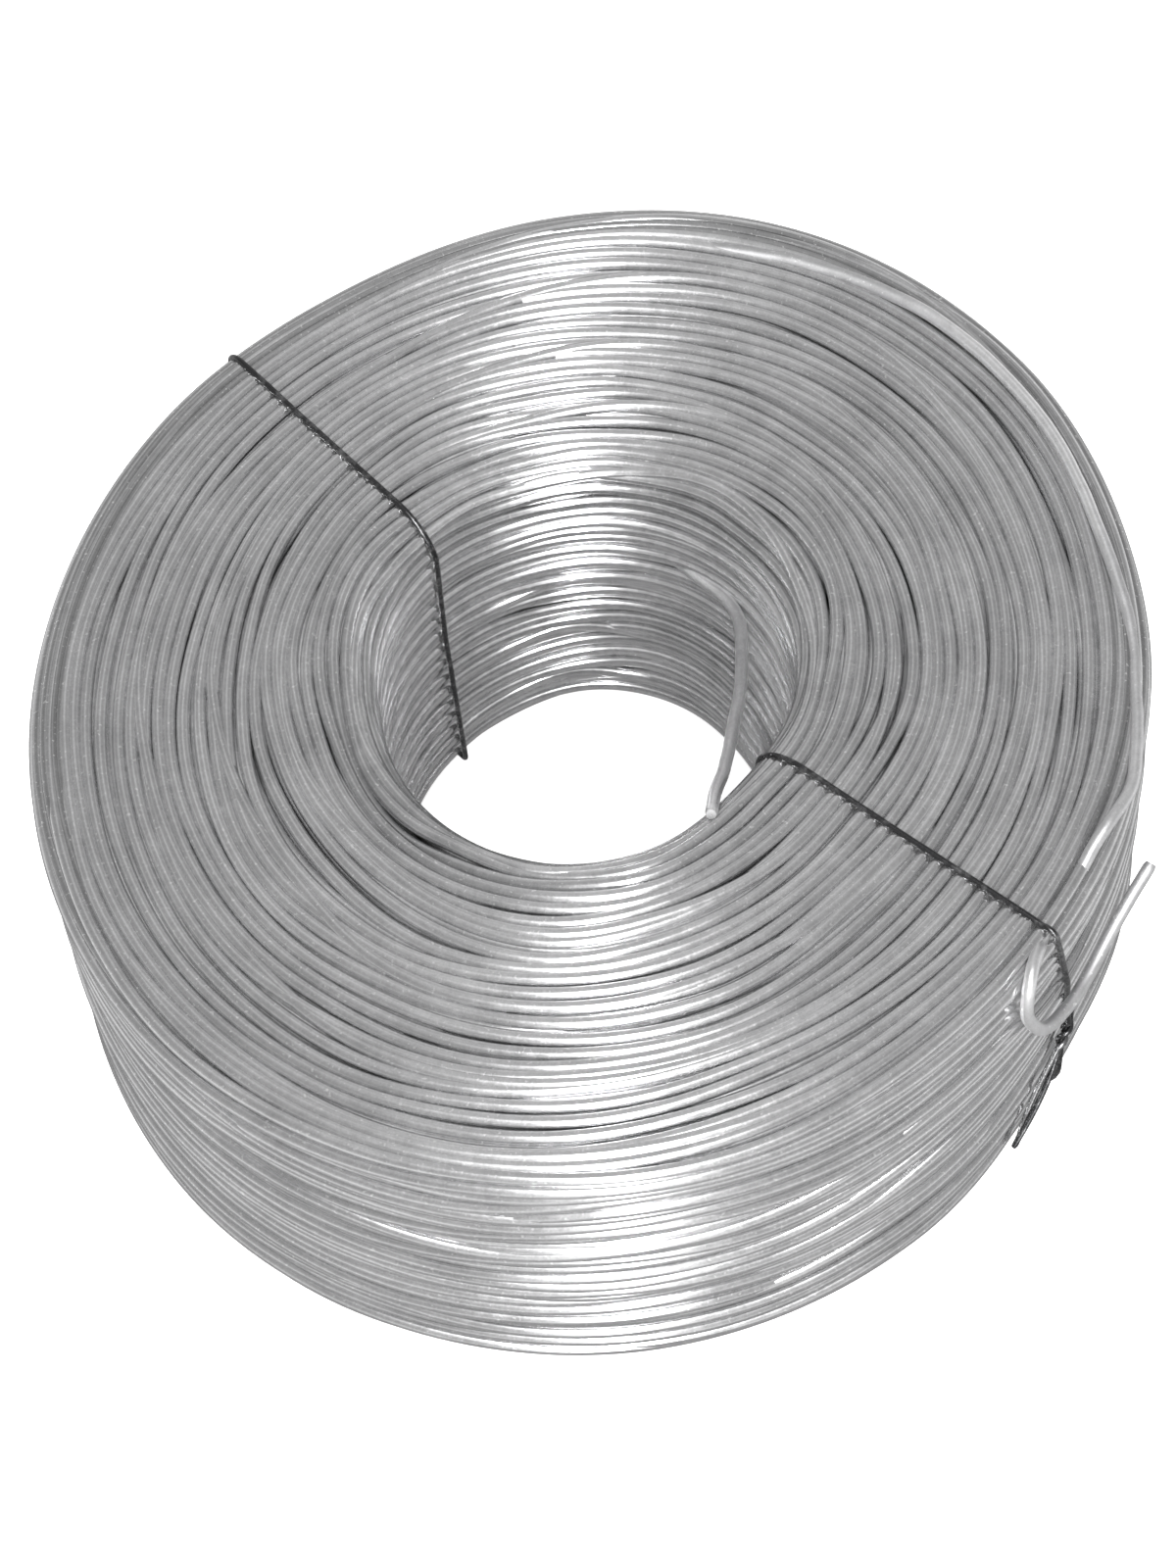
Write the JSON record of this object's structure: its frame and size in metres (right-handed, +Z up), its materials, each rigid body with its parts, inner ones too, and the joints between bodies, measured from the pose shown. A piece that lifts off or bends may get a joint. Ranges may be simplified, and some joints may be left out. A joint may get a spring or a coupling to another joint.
{
  "type": "coil of binding wire",
  "caption": "Thick ring of wound galvanised binding wire with an open bore and loose ends, held together by thin wire ties round its section.",
  "frame": {"origin": "middle of the ring's foot, on the surface that it lies on", "axes": "+Z up along the ring's axis, -Y towards the picture's camera, +X to its right"},
  "size_m": [0.1292, 0.1292, 0.0552],
  "materials": {
    "galvanised_wire": "bright galvanised, finely mottled",
    "tie_wire": "dark annealed, slightly oily"
  },
  "bodies": {
    "root": {"wire_coil": "galvanised_wire", "outer_end": "galvanised_wire", "inner_end": "galvanised_wire", "left_tie": "tie_wire", "right_tie": "tie_wire"}
  },
  "joints": []
}
